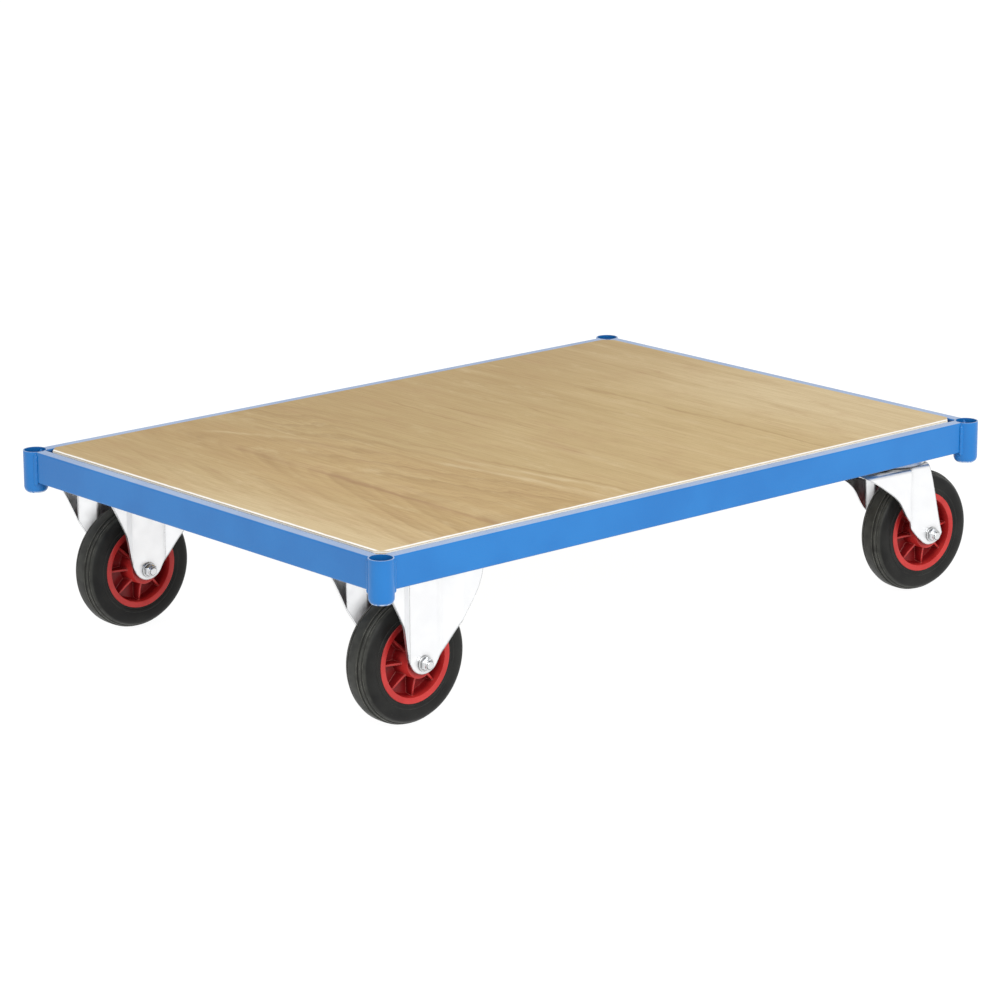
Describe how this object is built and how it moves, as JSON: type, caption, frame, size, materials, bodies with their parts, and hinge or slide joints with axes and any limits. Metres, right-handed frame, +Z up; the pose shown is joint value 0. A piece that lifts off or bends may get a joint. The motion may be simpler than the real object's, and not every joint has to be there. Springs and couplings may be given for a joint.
{
  "type": "platform trolley",
  "caption": "Flat platform trolley with a plywood deck in a blue box-section frame, open corner sockets for handles, and fixed and swivel castors with rubber-tyred wheels.",
  "frame": {"origin": "on the floor, under the middle of the whole footprint", "axes": "+X along the deck from the fixed castors to the swivel castors, +Z up, +Y to the left when facing +X"},
  "size_m": [1.3112, 0.888, 0.292],
  "materials": {
    "frame_paint": "blue powder coat, satin",
    "plywood": "light hardwood veneer, sealed, matt",
    "tyre_rubber": "moulded black rubber",
    "red_plastic": "moulded red polypropylene",
    "zinc_sheet": "bright zinc plated pressed steel",
    "zinc_fastener": "bright zinc plated fasteners",
    "bearing_steel": "hardened bright steel"
  },
  "bodies": {
    "chassis": {"axle_bolt_fixed_far": "zinc_fastener", "axle_bolt_fixed_near": "zinc_fastener", "axle_nut_fixed_far": "zinc_fastener", "axle_nut_fixed_near": "zinc_fastener", "bearing_sleeve_fixed_far": "bearing_steel", "bearing_sleeve_fixed_near": "bearing_steel", "bracket_fixed_far": "zinc_sheet", "bracket_fixed_near": "zinc_sheet", "castor_bolts": "zinc_fastener", "castor_nuts": "zinc_fastener", "castor_washers": "zinc_fastener", "cross_member_centre": "frame_paint", "cross_member_fixed_inner": "frame_paint", "cross_member_fixed_outer": "frame_paint", "cross_member_swivel_inner": "frame_paint", "cross_member_swivel_outer": "frame_paint", "deck_panel": "plywood", "deck_screws": "zinc_fastener", "dust_ring_far": "zinc_sheet", "dust_ring_near": "zinc_sheet", "frame_end_fixed": "frame_paint", "frame_end_swivel": "frame_paint", "frame_side_far": "frame_paint", "frame_side_near": "frame_paint", "king_pin_far": "zinc_fastener", "king_pin_near": "zinc_fastener", "king_pin_nuts": "zinc_fastener", "lower_race_far": "bearing_steel", "lower_race_near": "bearing_steel", "socket_fixed_far": "frame_paint", "socket_fixed_near": "frame_paint", "socket_swivel_far": "frame_paint", "socket_swivel_near": "frame_paint", "socket_welds": "frame_paint", "top_plate_far": "zinc_sheet", "top_plate_near": "zinc_sheet"},
    "swivel_fork_near": {"fork_swivel_near": "zinc_sheet", "axle_bolt_swivel_near": "zinc_fastener", "axle_nut_swivel_near": "zinc_fastener", "bearing_sleeve_swivel_near": "bearing_steel"},
    "ball_rows_near": {"swivel_balls_near": "bearing_steel"},
    "wheel_fixed_near": {"tyre_fixed_near": "tyre_rubber", "wheel_centre_fixed_near": "red_plastic"},
    "rollers_fixed_near": {"roller_bearing_fixed_near": "bearing_steel"},
    "wheel_swivel_near": {"tyre_swivel_near": "tyre_rubber", "wheel_centre_swivel_near": "red_plastic"},
    "rollers_swivel_near": {"roller_bearing_swivel_near": "bearing_steel"},
    "swivel_fork_far": {"fork_swivel_far": "zinc_sheet", "axle_bolt_swivel_far": "zinc_fastener", "axle_nut_swivel_far": "zinc_fastener", "bearing_sleeve_swivel_far": "bearing_steel"},
    "ball_rows_far": {"swivel_balls_far": "bearing_steel"},
    "wheel_fixed_far": {"tyre_fixed_far": "tyre_rubber", "wheel_centre_fixed_far": "red_plastic"},
    "rollers_fixed_far": {"roller_bearing_fixed_far": "bearing_steel"},
    "wheel_swivel_far": {"tyre_swivel_far": "tyre_rubber", "wheel_centre_swivel_far": "red_plastic"},
    "rollers_swivel_far": {"roller_bearing_swivel_far": "bearing_steel"}
  },
  "joints": [
    {"name": "swivel_near", "type": "hinge", "parent": "chassis", "child": "swivel_fork_near", "pos_m": [0.5015, -0.342, 0.2], "axis": [0, 0, 1], "continuous": true},
    {"name": "ball_roll_near", "type": "hinge", "parent": "chassis", "child": "ball_rows_near", "pos_m": [0.5015, -0.342, 0.2], "axis": [0, 0, 1], "continuous": true},
    {"name": "spin_fixed_near", "type": "hinge", "parent": "chassis", "child": "wheel_fixed_near", "pos_m": [-0.5205, -0.336, 0.1], "axis": [0, 1, 0], "continuous": true},
    {"name": "roller_turn_fixed_near", "type": "hinge", "parent": "chassis", "child": "rollers_fixed_near", "pos_m": [-0.5205, -0.336, 0.1], "axis": [0, 1, 0], "continuous": true},
    {"name": "spin_swivel_near", "type": "hinge", "parent": "swivel_fork_near", "child": "wheel_swivel_near", "pos_m": [0.55529, -0.34671, 0.1], "axis": [0.0872, 0.9962, 0], "continuous": true},
    {"name": "roller_turn_swivel_near", "type": "hinge", "parent": "swivel_fork_near", "child": "rollers_swivel_near", "pos_m": [0.55529, -0.34671, 0.1], "axis": [0.0872, 0.9962, 0], "continuous": true},
    {"name": "swivel_far", "type": "hinge", "parent": "chassis", "child": "swivel_fork_far", "pos_m": [0.5015, 0.342, 0.2], "axis": [0, 0, 1], "continuous": true},
    {"name": "ball_roll_far", "type": "hinge", "parent": "chassis", "child": "ball_rows_far", "pos_m": [0.5015, 0.342, 0.2], "axis": [0, 0, 1], "continuous": true},
    {"name": "spin_fixed_far", "type": "hinge", "parent": "chassis", "child": "wheel_fixed_far", "pos_m": [-0.5205, 0.336, 0.1], "axis": [0, 1, 0], "continuous": true},
    {"name": "roller_turn_fixed_far", "type": "hinge", "parent": "chassis", "child": "rollers_fixed_far", "pos_m": [-0.5205, 0.336, 0.1], "axis": [0, 1, 0], "continuous": true},
    {"name": "spin_swivel_far", "type": "hinge", "parent": "swivel_fork_far", "child": "wheel_swivel_far", "pos_m": [0.55529, 0.33729, 0.1], "axis": [0.0872, 0.9962, 0], "continuous": true},
    {"name": "roller_turn_swivel_far", "type": "hinge", "parent": "swivel_fork_far", "child": "rollers_swivel_far", "pos_m": [0.55529, 0.33729, 0.1], "axis": [0.0872, 0.9962, 0], "continuous": true}
  ],
  "couplings": [
    {"joint": "ball_roll_near", "follows": "swivel_near", "ratio": 0.5},
    {"joint": "roller_turn_fixed_near", "follows": "spin_fixed_near", "ratio": 0.6},
    {"joint": "roller_turn_swivel_near", "follows": "spin_swivel_near", "ratio": 0.6},
    {"joint": "ball_roll_far", "follows": "swivel_far", "ratio": 0.5},
    {"joint": "roller_turn_fixed_far", "follows": "spin_fixed_far", "ratio": 0.6},
    {"joint": "roller_turn_swivel_far", "follows": "spin_swivel_far", "ratio": 0.6}
  ]
}
